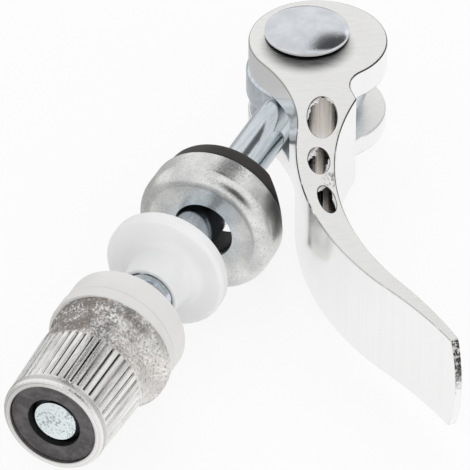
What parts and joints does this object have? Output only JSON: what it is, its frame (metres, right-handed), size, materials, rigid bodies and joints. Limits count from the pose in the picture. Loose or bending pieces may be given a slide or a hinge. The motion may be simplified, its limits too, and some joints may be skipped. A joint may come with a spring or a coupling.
{
  "type": "quick release seatpost clamp",
  "caption": "Seat binder quick release: eye bolt with a curved cam lever on a riveted pin, a cam saddle in a pressed cup, nylon washers and a ribbed thumb nut with a locking ring.",
  "frame": {"origin": "where the bolt's axis crosses the pivot pin's axis", "axes": "+X along the bolt from the pivot to the nut, +Z along the pivot pin towards its head, +Y to the side the open lever leans to"},
  "size_m": [0.0816, 0.0479, 0.0172],
  "materials": {
    "bolt": "bright zinc plated steel, slightly blue",
    "lever": "polished extruded aluminium, fine saw lines on the cut sides",
    "pivot_pin": "polished plated rivet",
    "cup_washer": "satin zinc plated pressing",
    "cam_saddle": "black nylon",
    "shoulder_washer": "milky white nylon",
    "nut_washer": "milky white nylon",
    "ribbed_nut": "as cast alloy, mottled flange, bright rubbed ribs",
    "lock_ring": "dark grey nylon"
  },
  "bodies": {
    "bolt": {"bolt": "bolt"},
    "lever": {"lever": "lever", "pivot_pin": "pivot_pin"},
    "cup": {"cup_washer": "cup_washer"},
    "saddle": {"cam_saddle": "cam_saddle"},
    "frame_washer": {"shoulder_washer": "shoulder_washer"},
    "nut_washer": {"nut_washer": "nut_washer"},
    "nut": {"ribbed_nut": "ribbed_nut", "lock_ring": "lock_ring"}
  },
  "joints": [
    {"name": "lever_pivot", "type": "hinge", "parent": "bolt", "child": "lever", "pos_m": [0, 0, 0], "axis": [0, 0, 1], "range_deg": [0, 250]},
    {"name": "cup_slide", "type": "slide", "parent": "bolt", "child": "cup", "axis": [1, 0, 0], "range_m": [-0.0017, 0.003]},
    {"name": "saddle_turn", "type": "hinge", "parent": "cup", "child": "saddle", "pos_m": [0.0292, 0.00075, -0.0003], "axis": [1, 0, 0], "continuous": true},
    {"name": "washer_slide", "type": "slide", "parent": "bolt", "child": "frame_washer", "axis": [1, 0, 0], "range_m": [-0.0035, 0.001]},
    {"name": "nut_travel", "type": "slide", "parent": "bolt", "child": "nut_washer", "axis": [1, 0, 0], "range_m": [-0.0031, 0.0041]},
    {"name": "nut_turn", "type": "hinge", "parent": "nut_washer", "child": "nut", "pos_m": [0.0585, 0, 0], "axis": [1, 0, 0], "range_deg": [-1080, 1440]}
  ],
  "couplings": [
    {"joint": "nut_travel", "follows": "nut_turn", "m_per_rad": 0.00015915}
  ]
}
